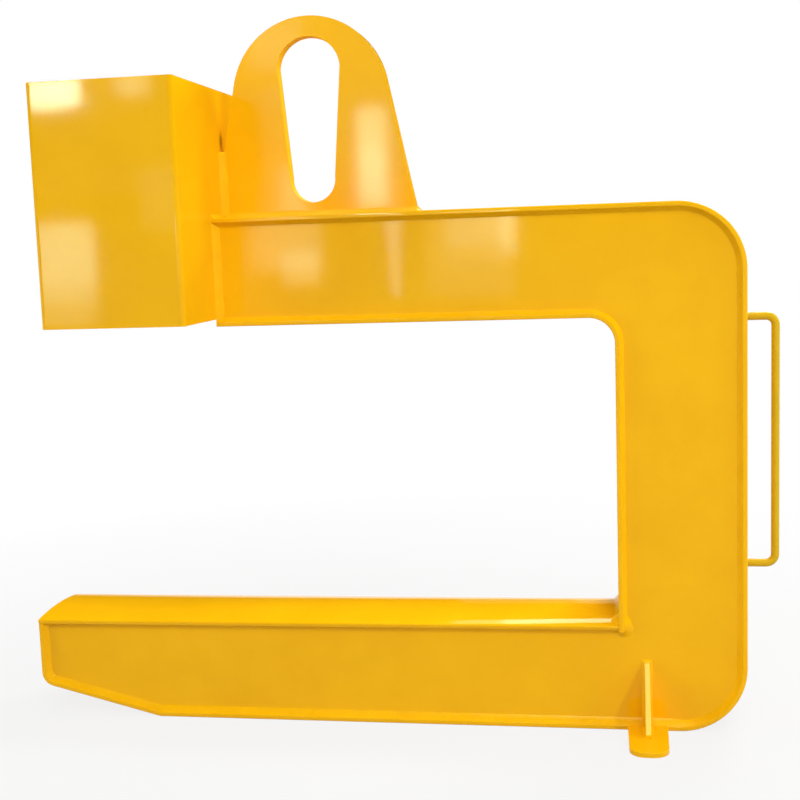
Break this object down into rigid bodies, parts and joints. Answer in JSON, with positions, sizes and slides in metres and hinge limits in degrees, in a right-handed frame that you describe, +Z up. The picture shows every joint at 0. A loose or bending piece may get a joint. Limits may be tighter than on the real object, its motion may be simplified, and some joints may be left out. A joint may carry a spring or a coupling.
{
  "type": "c hook",
  "caption": "Welded box-section C-shaped lifting hook for coils, with a crowned saddle arm, a lug with a lifting eye, a counterweight box, a bar handle and side feet.",
  "frame": {"origin": "on the underside of the bottom flange, in the hook's centre plane, straight below the lifting eye", "axes": "+X from the nose to the mast, +Y across the hook towards its rear side, +Z up"},
  "size_m": [1.525, 0.576, 1.4222],
  "materials": {
    "yellow_paint": "glossy amber yellow enamel with light orange peel",
    "weld_paint": "the same enamel over rippled weld beads",
    "bare_steel": "unpainted rolled steel plate, inside the box section and the counterweight"
  },
  "bodies": {
    "root": {"arm_weld": "weld_paint", "back_flange": "yellow_paint", "ballast_slab_1": "bare_steel", "ballast_slab_2": "bare_steel", "ballast_slab_3": "bare_steel", "ballast_slab_4": "bare_steel", "bottom_flange": "yellow_paint", "counterweight_bottom_plate": "yellow_paint", "counterweight_front_plate": "yellow_paint", "counterweight_inner_plate": "yellow_paint", "counterweight_outer_plate": "yellow_paint", "counterweight_rear_plate": "yellow_paint", "counterweight_top_plate": "yellow_paint", "front_foot": "yellow_paint", "front_foot_gusset": "yellow_paint", "front_gusset_welds": "weld_paint", "front_web": "yellow_paint", "front_web_weld": "weld_paint", "handle": "yellow_paint", "handle_welds": "weld_paint", "lower_corner_flange": "yellow_paint", "lug_diaphragm_left": "bare_steel", "lug_diaphragm_right": "bare_steel", "lug_plate": "yellow_paint", "lug_welds": "weld_paint", "mast_diaphragm_lower": "bare_steel", "mast_diaphragm_upper": "bare_steel", "nose_flange": "yellow_paint", "rear_foot": "yellow_paint", "rear_foot_gusset": "yellow_paint", "rear_gusset_welds": "weld_paint", "rear_web": "yellow_paint", "rear_web_weld": "weld_paint", "saddle_plate": "yellow_paint", "saddle_weld": "weld_paint", "throat_back_flange": "yellow_paint", "throat_corner_flange": "yellow_paint", "throat_top_flange": "yellow_paint", "top_flange": "yellow_paint", "upper_corner_flange": "yellow_paint"}
  },
  "joints": []
}
